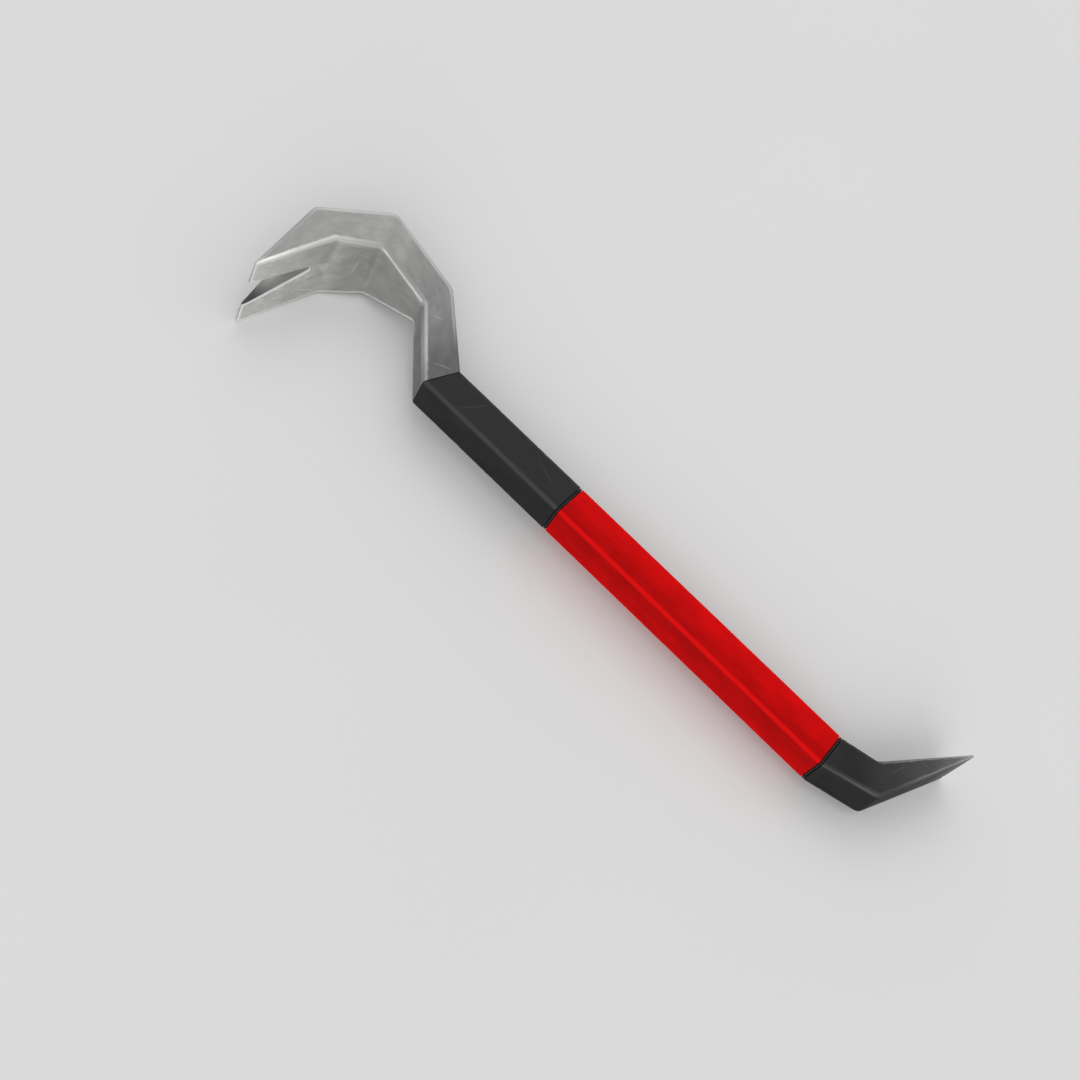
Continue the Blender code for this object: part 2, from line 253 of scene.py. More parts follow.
def grain(tree, size_mm, turn=(0.0, 0.0, 0.0), detail=2.0):
    """Noise from 0 to 1 with grains of this length, depth and width."""
    straight = add(tree, "Attribute", attribute_name="straight_mm")["Vector"]
    turned = add(tree, "VectorRotate", {"Vector": straight, "Rotation": turn}, rotation_type="EULER_XYZ")
    sized = add(tree, "VectorMath", {0: turned["Vector"], 1: size_mm}, operation="DIVIDE")
    return add(tree, "TexNoise", {"Vector": sized["Vector"], "Scale": 1.0, "Detail": detail})["Fac"]


print("the grain reads straight_mm, so its sizes are millimetres")

# %% [markdown]
# Three helpers make the colours. A colour is tinted with a second one where a pattern is strong, tones pass
# from one to the next along the bar, and noise shades a colour a little up and down. They go smoothly from
# one value to the next, because nothing on a worn tool has a ruled border.

# %% Tints, tones and shades
SMOOTH = {"interpolation_type": "SMOOTHSTEP"}
EVEN = {"interpolation_type": "LINEAR"}  # for a pattern that is a share from 0 to 1 already
NOISE_LOW, NOISE_HIGH = 0.25, 0.75  # nearly all values of a noise lie between these


def tinted(tree, colour, second, pattern, start=0.0, end=1.0, most=1.0, curve=SMOOTH):
    """A colour that turns to the second as a pattern goes from start to end, by this share at most."""
    ramp = {"Value": pattern, "From Min": start, "From Max": end, "To Max": most}
    share = add(tree, "MapRange", ramp, **curve)["Result"]
    colours = {FACTOR: share, COLOUR_A: colour, COLOUR_B: second}
    return add(tree, "Mix", colours, data_type="RGBA")[COLOUR_OUT]


def tones_along(tree, stops):
    """A colour that passes through these {millimetres along the bar: hex colour} stops."""
    straight = add(tree, "Attribute", attribute_name="straight_mm")["Vector"]
    along = add(tree, "SeparateXYZ", {"Vector": straight})["X"]
    places = list(stops)
    colour = linear(stops[places[0]])
    for start, end in zip(places, places[1:]):
        colour = tinted(tree, colour, linear(stops[end]), along, start, end)
    return colour


def shaded(tree, colour, *shades):
    """A colour brightened and darkened by patterns, each given as (noise, lowest, highest)."""
    for pattern, low, high in shades:
        ramp = {"Value": pattern, "From Min": NOISE_LOW, "From Max": NOISE_HIGH}
        factor = add(tree, "MapRange", {**ramp, "To Min": low, "To Max": high}, **SMOOTH)["Result"]
        colour = add(tree, "VectorMath", {"Vector": colour, "Scale": factor}, operation="SCALE")["Vector"]
    return colour


print(f"noise shades a colour fully between its values {NOISE_LOW} and {NOISE_HIGH}")

# %% [markdown]
# Edges wear first. The wear is full on the rounding of an edge and fades out beyond it, at a reach that noise
# moves in and out, so that the border is ragged.

# %% Worn edges
RAGGED_LOW, RAGGED_HIGH = 0.3, 0.7  # noise values that give the least and the greatest reach


def edge_wear(tree, least_mm, most_mm, ragged):
    """1 on the edges and 0 beyond a reach that noise takes between these two lengths."""
    ramp = {"Value": ragged, "From Min": RAGGED_LOW, "From Max": RAGGED_HIGH}
    reach = add(tree, "MapRange", {**ramp, "To Min": least_mm, "To Max": most_mm}, **SMOOTH)["Result"]
    distance = add(tree, "Attribute", attribute_name="edge_mm")["Fac"]
    return add(tree, "MapRange", {"Value": distance, "From Min": reach, "From Max": 0.0}, **SMOOTH)["Result"]


print(f"wear reaches least where its noise is {RAGGED_LOW}, and furthest where it is {RAGGED_HIGH}")

# %% [markdown]
# Scratches come in two kinds. Stray ones lie all over the steel: noise stretched into thin slanting sheets
# meets the surface in lines, and only its highest values count. The few that catch the eye are placed one by
# one, each as a long thin ellipsoid in the straightened bar that tapers out at both ends. Real scratches are
# about a tenth of a millimetre wide, too fine to show here, so they are drawn about half a millimetre wide,
# with soft borders.

# %% Scratches
Sheets = namedtuple("Sheets", "spread thickness turn start end")  # sizes in millimetres
Scratch = namedtuple("Scratch", "face place turn length")  # millimetres and degrees
SCRATCH_HALF_WIDTH = 0.5
SCRATCH_REACH = 4.0  # into the steel, so that a bent face still takes the scratch
SCRATCH_CORE = 0.3  # share of the half width that is at full strength


def strongest(tree, patterns):
    """The largest of several patterns at each point."""
    most = patterns[0]
    for pattern in patterns[1:]:
        most = add(tree, "Math", {0: most, 1: pattern}, operation="MAXIMUM")["Value"]
    return most


def stray_scratches(tree, all_sheets):
    """1 on the lines where slanting sheets of noise meet the surface."""
    lines = []
    for sheets in all_sheets:
        value = grain(tree, (sheets.spread, sheets.thickness, sheets.spread), sheets.turn)
        ramp = {"Value": value, "From Min": sheets.start, "From Max": sheets.end}
        lines.append(add(tree, "MapRange", ramp, **SMOOTH)["Result"])
    return strongest(tree, lines)


def placed_scratches(tree, scratches):
    """1 along each of these tapering scratches, on a side or an inner face."""
    straight = add(tree, "Attribute", attribute_name="straight_mm")["Vector"]
    lines = []
    for scratch in scratches:
        turn = math.radians(scratch.turn)
        if scratch.face == "side":
            rotation = (0.0, 0.0, turn)
            half_size = (scratch.length / 2, SCRATCH_HALF_WIDTH, SCRATCH_REACH)
        else:
            rotation = (0.0, turn, 0.0)
            half_size = (scratch.length / 2, SCRATCH_REACH, SCRATCH_HALF_WIDTH)
        ellipsoid = {"Vector": straight, "Location": scratch.place, "Rotation": rotation, "Scale": half_size}
        local = add(tree, "Mapping", ellipsoid, vector_type="TEXTURE")["Vector"]
        distance = add(tree, "VectorMath", {0: local}, operation="LENGTH")["Value"]
        ramp = {"Value": distance, "From Min": 1.0, "From Max": SCRATCH_CORE}
        lines.append(add(tree, "MapRange", ramp, **SMOOTH)["Result"])
    return strongest(tree, lines)


print(f"a placed scratch fades out {SCRATCH_HALF_WIDTH} mm either side of its middle")

# %% [markdown]
# Last, how a surface takes the light: its gloss changes a little from place to place, and a fine bump breaks
# up the reflections. The bump is only for texture that is finer than the mesh. Dents are real ones and are
# made later.

# %% Roughness and bump


def rough_and_bumpy(tree, shader, pattern, roughness, height, depth_mm):
    """Links a roughness, given as {pattern value: roughness} for two values, and a bump of this depth."""
    (start, first), (end, second) = roughness.items()
    ramp = {"Value": pattern, "From Min": start, "From Max": end, "To Min": first, "To Max": second}
    tree.links.new(add(tree, "MapRange", ramp, **SMOOTH)["Result"], shader.inputs["Roughness"])
    bump = add(tree, "Bump", {"Strength": 1.0, "Distance": depth_mm * MM, "Height": height})["Normal"]
    tree.links.new(bump, shader.inputs["Normal"])


print("a bump's depth is given in millimetres and set in metres")

# %% [markdown]
# The claw is bare carbon steel, drop forged and then belt ground. Use polishes the prongs and every edge,
# and the lower edges of the face inside the hook are painted lighter still, against the shade that falls
# on them. That face itself is painted lighter than the sides, against the shade inside the hook, and oil
# and old scale darken the steel towards the sleeve. The slot's walls are painted lighter towards the root,
# against the shade deep in the slot, and darker at the mouth, where they mirror the pale floor. The tones
# are set at distances in millimetres from the prongs' tips.

# %% The tones of bare steel
CLAW_TONES = {
    "side": {0: "#9b9b9a", 60: "#a1a1a0", 100: "#aeaead", 118: "#9e9e9d", 138: "#8c8c8c", 184: "#696969"},
    # painted light: the face inside the hook is lighter than the sides, against the shade there
    "inside": {0: "#dadad8", 48: "#c8c8c6", 72: "#b0b0ae", 136: "#a6a6a5", 152: "#8a8a8a", 184: "#7a7a7a"},
    "inner edge": {0: "#fafaf8", 40: "#d0d0ce", 110: "#a6a6a5", 165: "#b8b8b6", 187: "#9c9c9b"},
    "outer edge": {
        0: "#a8a8a7", 44: "#a4a4a3", 60: "#c6c6c4", 120: "#c6c6c4", 150: "#a8a8a7", 178: "#6c6c6c",
    },
    # wear, and painted light: the lower edges of the inside face are lighter still, against the shade below
    # them
    "lower edge": {0: "#fafaf8", 60: "#f2f2f0", 133: "#f2f2f0", 150: "#a0a09f", 187: "#7c7c7c"},
    "fresh scratch": {40: "#fafaf8", 75: "#f0f0ee", 140: "#b4b4b2", 187: "#a0a09f"},
    # painted light and shade: the walls are lighter at the root, against its shade, and darker at the mouth,
    # against the floor they mirror
    "slot wall": {6: "#505050", 29: "#c2c2c0", 44: "#d6d6d4"},
}
MIDDLE_BLEND = 1.5  # millimetres either side of the middle where inner tones turn to outer ones
LOWER_BLEND = 1.0  # the same between the upper and the lower half

finishes = {}
finishes["bare_forged_steel"], tree, shader = new_finish("bare forged steel, belt ground", metallic=1.0)
tone = {name: tones_along(tree, stops) for name, stops in CLAW_TONES.items()}
straight = add(tree, "Attribute", attribute_name="straight_mm")["Vector"]
place = add(tree, "SeparateXYZ", {"Vector": straight})
inside = add(tree, "Attribute", attribute_name="inside")["Fac"]
ramp = {"Value": place["Z"], "From Min": LOWER_BLEND, "From Max": -LOWER_BLEND}
lower = add(tree, "MapRange", ramp, **SMOOTH)["Result"]
lower_inside = add(tree, "Math", {0: inside, 1: lower}, operation="MULTIPLY")["Value"]
# the face inside the hook takes its painted lighter tone
steel = tinted(tree, tone["side"], tone["inside"], inside, curve=EVEN)
edge = tinted(tree, tone["inner edge"], tone["outer edge"], place["Y"], -MIDDLE_BLEND, MIDDLE_BLEND)
# the lower edges of the inside face take their painted lighter tone
edge = tinted(tree, edge, tone["lower edge"], lower_inside, curve=EVEN)

# %% [markdown]
# Grinding leaves fine lines along the bar. Real ones, about 0.1 mm wide, would not show here, so they are
# drawn 0.7 mm wide. Stains lie over them, and nails and other tools leave scratches. A rough metal with no
# colour of its own gives the eye all of this as soft greys.

# %% Bare forged steel
CLAW_STRAYS = [
    Sheets(30.0, 0.5, (0.3, 0.5, 0.9), 0.66, 0.72),
    Sheets(24.0, 0.45, (1.1, -0.4, -0.5), 0.68, 0.74),
]
CLAW_SCRATCHES = [
    Scratch("inner", (75.3, -12.7, 2.4), -78, 18.0),
    Scratch("inner", (42.2, -9.7, -14.6), 27, 24.0),
    Scratch("side", (182.3, 0.6, 10.1), 56, 21.0),
    Scratch("side", (148.0, -1.3, 9.8), 52, 14.0),
]

grind = grain(tree, (18.0, 0.7, 0.7), detail=3.0)
stain = grain(tree, (9.0, 6.0, 6.0), detail=4.0)
ragged = grain(tree, (5.0, 1.2, 1.2), detail=3.0)
strays = stray_scratches(tree, CLAW_STRAYS)
scratches = placed_scratches(tree, CLAW_SCRATCHES)
in_slot = add(tree, "Attribute", attribute_name="in_slot")["Fac"]
steel = shaded(tree, steel, (grind, 0.9, 1.1), (stain, 0.9, 1.08))
steel = tinted(tree, steel, edge, strays, most=0.22)
steel = tinted(tree, steel, tone["fresh scratch"], scratches, most=0.5)
steel = tinted(tree, steel, edge, edge_wear(tree, 1.9, 2.7, ragged), end=0.7, most=0.95)
# the slot's walls take their painted light and shade
steel = tinted(tree, steel, tone["slot wall"], in_slot, curve=EVEN)
tree.links.new(steel, shader.inputs["Base Color"])
height = add(tree, "Math", {0: grind, 1: strays}, operation="SUBTRACT")["Value"]
rough_and_bumpy(tree, shader, grind, {0.2: 0.46, 0.8: 0.6}, height, depth_mm=0.03)
print("bare steel takes", len(tree.nodes), "nodes")

# %% [markdown]
# The sleeve and the chisel bar are the same steel under a black oxide finish: a bath turns the surface dark
# and matt, and an oily rag seals it. It is thin, so edges rub through to a dull grey, stray scratches show
# paler, and the chisel's end is bright where it was ground after the bath. The chisel's underside, the face
# on the inside, is painted darker than its side, and so are its rubbed edges, as shade. At a slant the oxide
# mirrors the pale floor less than bare metal does, so the tint of its slanting reflections is set below
# white. These tones are set at distances from the chisel's edge.

# %% Blackened steel
OXIDE_SLANT_TINT = "#d0d0d0"
BLACK_TONES = {
    "side": {0: "#969695", 14: "#707070", 30: "#555555", 55: "#424242", 75: "#363636"},
    # painted shade: the underside is darker than the side
    "under": {0: "#7a7a79", 20: "#4a4a4a", 50: "#323232", 75: "#3b3b3b"},
    "rubbed": {0: "#c0c0be", 20: "#909090", 55: "#565656", 85: "#484848"},
    "outer rubbed": {0: "#acacaa", 30: "#8e8e8d", 56: "#7c7c7b", 66: "#484848"},
    # painted shade: rubbed edges on the underside are darker too
    "under rubbed": {0: "#8a8a89", 20: "#484848", 85: "#424242"},
}
BLACK_STRAYS = [
    Sheets(36.0, 0.6, (0.2, 0.6, 0.35), 0.69, 0.74),
    Sheets(30.0, 0.5, (0.9, -0.3, -0.8), 0.69, 0.74),
]
SLEEVE_SCRATCHES = [
    Scratch("side", (350.2, -0.3, 10.3), 120, 28.0),
    Scratch("side", (297.5, 1.4, 10.3), 21, 30.0),
]

finishes["blackened_steel"], tree, shader = new_finish("black oxide steel, oiled", metallic=1.0)
shader.inputs["Specular Tint"].default_value = linear(OXIDE_SLANT_TINT)
tone = {name: tones_along(tree, stops) for name, stops in BLACK_TONES.items()}
straight = add(tree, "Attribute", attribute_name="straight_mm")["Vector"]
place = add(tree, "SeparateXYZ", {"Vector": straight})
inside = add(tree, "Attribute", attribute_name="inside")["Fac"]
rubbed = tinted(tree, tone["rubbed"], tone["outer rubbed"], place["Y"], -MIDDLE_BLEND, MIDDLE_BLEND)
# rubbed edges on the underside take their painted darker tone
rubbed = tinted(tree, rubbed, tone["under rubbed"], inside, curve=EVEN)

grind = grain(tree, (14.0, 0.8, 0.8), detail=3.0)
stain = grain(tree, (14.0, 8.0, 8.0), detail=4.0)
ragged = grain(tree, (6.0, 1.4, 1.4), detail=3.0)
strays = stray_scratches(tree, BLACK_STRAYS)
scratches = placed_scratches(tree, SLEEVE_SCRATCHES)
# the underside takes its painted darker tone, as shade
steel = tinted(tree, tone["side"], tone["under"], inside, curve=EVEN)
steel = shaded(tree, steel, (grind, 0.94, 1.06), (stain, 0.88, 1.1))
steel = tinted(tree, steel, rubbed, strays, most=0.3)
steel = tinted(tree, steel, rubbed, scratches, most=0.6)
steel = tinted(tree, steel, rubbed, edge_wear(tree, 0.5, 1.4, ragged), most=0.85)
tree.links.new(steel, shader.inputs["Base Color"])
height = add(tree, "Math", {0: stain, 1: strays}, operation="SUBTRACT")["Value"]
rough_and_bumpy(tree, shader, stain, {0.2: 0.46, 0.8: 0.58}, height, depth_mm=0.03)

# %% [markdown]
# The grip is a tube of red vinyl, moulded with a fine matt texture. Soft vinyl scatters light inside, so its
# red stays deep and its gloss is weak. Hands and tool racks have left it mottled, and lighter and smoother
# along the edges themselves. Its red is darker beside two opposite edges and clearer beside the other two,
# and the face towards the inside of the hook is painted darker, as shade. The moulded texture is about 0.5
# mm.

# %% Red moulded vinyl
CLEAR_RED = "#cc0406"
DARK_RED = "#af0203"
DARK_FRONT_RED = "#b80304"  # on the face towards the inside of the hook, which is then painted a fifth darker, as shade
WORN_RED = "#d4080a"
DARKEST_MM, CLEAREST_MM = 19.0, 2.0  # difference of y and z, which is small at the two clearer edges

finishes["red_vinyl"], tree, shader = new_finish("red moulded vinyl", metallic=0.0, specular=0.04)
straight = add(tree, "Attribute", attribute_name="straight_mm")["Vector"]
place = add(tree, "SeparateXYZ", {"Vector": straight})
inside = add(tree, "Attribute", attribute_name="inside")["Fac"]
slant = add(tree, "Math", {0: place["Y"], 1: place["Z"]}, operation="SUBTRACT")["Value"]
across_edges = add(tree, "Math", {0: slant}, operation="ABSOLUTE")["Value"]
mottle = grain(tree, (16.0, 8.0, 8.0), detail=3.0)
smear = grain(tree, (40.0, 3.0, 3.0), (0.0, 0.1, 0.15), detail=3.0)
ragged = grain(tree, (9.0, 2.0, 2.0), detail=2.0)
texture = grain(tree, (0.5, 0.5, 0.5), detail=1.0)

# darker beside two opposite edges, clearer beside the other two
darker_red = tinted(tree, linear(DARK_RED), linear(DARK_FRONT_RED), inside, curve=EVEN)
red = tinted(tree, darker_red, linear(CLEAR_RED), across_edges, DARKEST_MM, CLEAREST_MM)
red = shaded(tree, red, (mottle, 0.88, 1.1), (smear, 0.95, 1.05), (texture, 0.98, 1.02))
# painted shade: the face towards the inside of the hook is made up to a fifth darker
red = shaded(tree, red, (inside, 1.0, 0.8))
worn = edge_wear(tree, 0.2, 0.9, ragged)
red = tinted(tree, red, linear(WORN_RED), worn, most=0.85)
tree.links.new(red, shader.inputs["Base Color"])
rough_and_bumpy(tree, shader, worn, {0.0: 0.55, 1.0: 0.42}, texture, depth_mm=0.03)

# %% [markdown]
# The two thin seals at the ends of the grip are black rubber: matt, a little dusty, with hardly any shine.

# %% Black moulded rubber
finishes["black_rubber"], tree, shader = new_finish("black moulded rubber", metallic=0.0, specular=0.3)
dust = grain(tree, (3.0, 2.0, 2.0), detail=4.0)
texture = grain(tree, (0.4, 0.4, 0.4), detail=1.0)
rubber = tinted(tree, linear("#1b1a1a"), linear("#262525"), dust, 0.4, 0.7)
tree.links.new(rubber, shader.inputs["Base Color"])
rough_and_bumpy(tree, shader, dust, {0.3: 0.7, 0.7: 0.85}, texture, depth_mm=0.02)

# %% [markdown]
# The dowel pins are hardened steel. Only their lower ends show, in holes in the underside, and the tool that
# faced those ends left fine rings in them. A pin's points carry the distance from its own axis in place of
# the one along the bar, so the grain lies in rings. A film of oil keeps the pins a little darker than the
# claw.

# %% Ground pin steel
finishes["ground_pin_steel"], tree, shader = new_finish("ground dowel steel, oiled", metallic=1.0)
rings = grain(tree, (0.3, 6.0, 6.0), detail=3.0)
oil = grain(tree, (2.0, 1.5, 1.5), detail=4.0)
steel = tinted(tree, linear("#9c9c9e"), linear("#78787a"), oil, 0.3, 0.7)
steel = shaded(tree, steel, (rings, 0.92, 1.08))
steel = tinted(tree, steel, linear("#bcbcbc"), edge_wear(tree, 0.2, 0.4, oil), curve=EVEN)
tree.links.new(steel, shader.inputs["Base Color"])
rough_and_bumpy(tree, shader, oil, {0.2: 0.24, 0.8: 0.4}, rings, depth_mm=0.01)

# %% [markdown]
# Both forged ends are a run of sections, as a smith would draw them: rectangles across the bar with rounded
# corners, each from a point inside the hook to one outside it and to a half width either side of the hook's
# plane. These are the same sections that the solids were made from, in millimetres. The picture needs
# rounder corners and bends than the solids have, and points close enough to carry dents, so the sections are
# drawn again here with more steps.

# %% The sections of the bar
Section = namedtuple("Section", "inner outer half_width inner_edge outer_edge")


def section_mm(inner, outer, half_width, inner_edge, outer_edge):
    """A Section from sizes in millimetres."""
    return Section(
        Vector(inner) * MM, Vector(outer) * MM, half_width * MM, inner_edge * MM, outer_edge * MM
    )


PRONG_TIPS = section_mm((-102.2, -44.2), (-103.6, -44.2), 24.6, 0.5, 0.5)
CLAW_SHOULDER = section_mm((-91.3, 7.3), (-115.0, 13.8), 23.5, 2.2, 1.4)
CROWN_FRONT = section_mm((-74.8, 27.6), (-88.2, 54.0), 20.9, 2.2, 1.4)
CROWN_BACK = section_mm((-40.2, 28.6), (-37.6, 52.6), 9.6, 2.4, 1.6)
HEEL = section_mm((316.8, -1.8), (305.4, 15.8), 11.2, 1.8, 1.4)
CHISEL_TIP = section_mm((343.6, 60.2), (342.6, 60.8), 16.2, 0.4, 0.4)
LEAST_EDGE = 0.1  # least share of its rounding that an edge keeps when a section is drawn in


def middle(section):
    """The point halfway between the inner and the outer face."""
    return (section.inner + section.outer) / 2


def across_shaft(x, depth, width, edge, lean=0.0):
    """A section square across the shaft at x, or leaning along x by this much for each metre of y."""
    half = depth / 2
    return Section(
        Vector((x - lean * half, -half)), Vector((x + lean * half, half)), width / 2, edge, edge
    )


def blend(first, second, share):
    """The section this share of the way from the first to the second."""
    return Section(*(a + (b - a) * share for a, b in zip(first, second)))


def inset(section, by):
    """The section drawn in by this much all round."""
    step = (section.outer - section.inner).normalized() * by
    edges = [max(edge - by, LEAST_EDGE * edge) for edge in (section.inner_edge, section.outer_edge)]
    return Section(section.inner + step, section.outer - step, section.half_width - by, *edges)


print(f"the claw is {2 * PRONG_TIPS.half_width / MM:.1f} mm wide at its tips")

# %% [markdown]
# A run of sections becomes a smooth bar in two steps. Each bend is eased into a short curve, because hot
# steel doesn't fold sharply. Then the straight stretches get sections in between, about 1.3 mm apart, so that
# the surface has points to carry its unevenness. The free ends are rounded in the same way, with sections
# that are drawn in.

# %% Ease the bends, fill the straights, round the ends
BEND_REACH = 2.5 * MM
BEND_STEPS = 7
RUN_STEP = 1.3 * MM
ROUNDING_STEPS = 4


def eased(sections):
    """The same run of sections with each bend between its ends rounded over BEND_REACH."""
    run = [sections[0]]
    for before, bend, after in zip(sections, sections[1:], sections[2:]):
        start = blend(bend, before, BEND_REACH / (middle(bend) - middle(before)).length)
        end = blend(bend, after, BEND_REACH / (middle(bend) - middle(after)).length)
        for step in range(BEND_STEPS):
            share = step / (BEND_STEPS - 1)
            run.append(blend(blend(start, bend, share), blend(bend, end, share), share))
    return run + [sections[-1]]


def filled(sections, step=RUN_STEP):
    """The same run with sections added wherever two lie further apart than this step."""
    run = [sections[0]]
    for first, second in zip(sections, sections[1:]):
        count = max(1, math.ceil((middle(second) - middle(first)).length / step))
        run += [blend(first, second, (i + 1) / count) for i in range(count)]
    return run


def rounded_end(section, inwards, radius):
    """Sections that round a bar's end: drawn in by radius at the end, and less and less further in."""
    run = []
    for step in range(ROUNDING_STEPS):
        angle = step / ROUNDING_STEPS * math.pi / 2
        move = inwards * radius * (1 - math.cos(angle))
        moved = section._replace(inner=section.inner + move, outer=section.outer + move)
        run.append(inset(moved, radius * (1 - math.sin(angle))))
    return run


print(f"a bend is eased over {2 * BEND_REACH / MM:.0f} mm with {BEND_STEPS} sections")

# %% [markdown]
# The nail slot is a V between the prongs with a round root, and two ground bevels that begin at nothing at
# the tips and are deepest at the root, where a ramp runs out of the slot. Cutting it from a fine mesh would
# leave slivers, so it is woven in: in the slotted stretch each half of the bar gets a wall of its own, and
# the points of the inner face sink by the depth of the bevel.

# %% The nail slot
SLOT_TIP_GAP = 18.2 * MM
SLOT_LENGTH = 49.0 * MM  # to where the straight sides would meet
SLOT_ROOT_RADIUS = 1.1 * MM
SLOT_BEVEL_DEPTH = 3.6 * MM
SLOT_BEVEL_WIDTH = 5.5 * MM
SLOT_BEVEL_BACK = 4.0 * MM
SLOT_BEVEL_LIFT = 0.6 * MM  # how far above the blade's face the bevels' cutter reaches

blade_run = CLAW_SHOULDER.inner - PRONG_TIPS.inner
blade_up = blade_run.normalized()
blade_out = Vector((blade_up.y, -blade_up.x))
slot_half_angle = math.atan2(SLOT_TIP_GAP / 2, SLOT_LENGTH)
slot_root_middle = SLOT_LENGTH - SLOT_ROOT_RADIUS / math.sin(slot_half_angle)
slot_end = slot_root_middle + SLOT_ROOT_RADIUS


def slot_half_gap(up):
    """Half the slot's width at this distance up the blade from the tips."""
    if up >= slot_end:
        return 0.0
    if up > slot_root_middle - SLOT_ROOT_RADIUS * math.sin(slot_half_angle):
        return math.sqrt(max(0.0, SLOT_ROOT_RADIUS**2 - (up - slot_root_middle) ** 2))
    return SLOT_TIP_GAP / 2 * (1 - up / SLOT_LENGTH)


def bevel_border(up):
    """How far from the middle of the claw the bevels begin."""
    return SLOT_TIP_GAP / 2 + (SLOT_BEVEL_WIDTH - SLOT_TIP_GAP / 2) * min(up / SLOT_LENGTH, 1.0)


def bevel_depth(point, side):
    """How deep the bevels cut at a point (x, y) of the inner face, this far from the middle of the claw."""
    up = (point - PRONG_TIPS.inner).dot(blade_up)
    lift = (point - PRONG_TIPS.inner).dot(blade_out)
    if lift > SLOT_BEVEL_LIFT:
        return 0.0
    slope = SLOT_BEVEL_DEPTH / SLOT_BEVEL_WIDTH
    bevel = (bevel_border(up) - side) * slope
    ramp = SLOT_BEVEL_DEPTH * (1 - (up - SLOT_LENGTH) / SLOT_BEVEL_BACK)
    return max(0.0, min(bevel, ramp) + lift)


def blade_section(up):
    """The claw's section square across the blade, at this distance up from the tips."""
    share = up / blade_run.length
    outer_run = CLAW_SHOULDER.outer - PRONG_TIPS.outer
    outer_share = (up - (PRONG_TIPS.outer - PRONG_TIPS.inner).dot(blade_up)) / outer_run.dot(blade_up)
    return blend(PRONG_TIPS, CLAW_SHOULDER, share)._replace(outer=PRONG_TIPS.outer + outer_run * outer_share)


print(f"the slot's root is {slot_end / MM:.1f} mm up the blade")

# %% [markdown]
# Now the weaving. Each section gives half a ring of points: from the middle of the outer face round one side
# to the middle of the inner face, and then, in the slotted stretch, back through the wall of the slot. Every
# ring has the same number of points, so that neighbours can be joined point by point.

# %% The outline of half a ring
FACE_STEPS = 6
BEVEL_STEPS = 4
EDGE_STEPS = 6
SIDE_STEPS = 12
WALL_STEPS = 10
BEVEL_LIMIT = 0.7  # share of the half width that the bevels' points may take up
SLOT_EDGE = 0.4 * MM  # chamfer of the slot's own edges
RING_POINTS = 1 + 2 * (BEVEL_STEPS + FACE_STEPS + EDGE_STEPS) + SIDE_STEPS
OUTER_EDGE_START = BEVEL_STEPS + FACE_STEPS
INNER_EDGE_START = OUTER_EDGE_START + EDGE_STEPS + SIDE_STEPS

Station = namedtuple("Station", "section along slotted shown")


def steps_between(start, end, steps):
    """Evenly spaced values after start, up to and with end."""
    return [start + (end - start) * (i + 1) / steps for i in range(steps)]


def half_outline(station, up):
    """(depth from the middle, width from the middle) of half a ring, then of the slot's wall."""
    section = station.section
    half = (section.outer - section.inner).length / 2
    wide = section.half_width
    gap = slot_half_gap(up) if station.slotted else 0.0
    chamfer = min(SLOT_EDGE, gap)
    border = min(max(bevel_border(up), gap + chamfer), BEVEL_LIMIT * wide)
    outer_edge, inner_edge = section.outer_edge, section.inner_edge
    outline = [(half, gap + chamfer)]
    outline += [(half, z) for z in steps_between(gap + chamfer, border, BEVEL_STEPS)]
    outline += [(half, z) for z in steps_between(border, wide - outer_edge, FACE_STEPS)]
    for angle in steps_between(0, math.pi / 2, EDGE_STEPS):
        depth = half - outer_edge + outer_edge * math.cos(angle)
        outline.append((depth, wide - outer_edge + outer_edge * math.sin(angle)))
    outline += [(a, wide) for a in steps_between(half - outer_edge, inner_edge - half, SIDE_STEPS)]
    for angle in steps_between(math.pi / 2, math.pi, EDGE_STEPS):
        depth = inner_edge - half + inner_edge * math.cos(angle)
        outline.append((depth, wide - inner_edge + inner_edge * math.sin(angle)))
    inner_face = steps_between(wide - inner_edge, border, FACE_STEPS)
    inner_face += steps_between(border, gap + chamfer, BEVEL_STEPS)
    sunk = [bevel_depth(section.inner, z) if station.shown else 0.0 for z in inner_face]
    outline += [(sink - half, z) for sink, z in zip(sunk, inner_face)]
    start = sunk[-1] - half + chamfer
    outline += [(a, gap) for a in [start] + steps_between(start, half - chamfer, WALL_STEPS)]
    return outline


print(f"half a ring has {RING_POINTS} points, and the slot's wall adds {WALL_STEPS + 1}")

# %% [markdown]
# Each point also takes the values that the finishes read, and one more, shown: 0 on the cores and in the
# bores, which keeps dents off surfaces that have to fit.

# %% The points of half a ring, with their values
SLOT_WEAR_LOSS = 0.3 * MM  # how much less far the wear reaches from the slot's edges
INSIDE_BLEND = 1.2 * MM
WELD = 0.002 * MM

Layers = namedtuple("Layers", "straight edge inside in_slot shown")


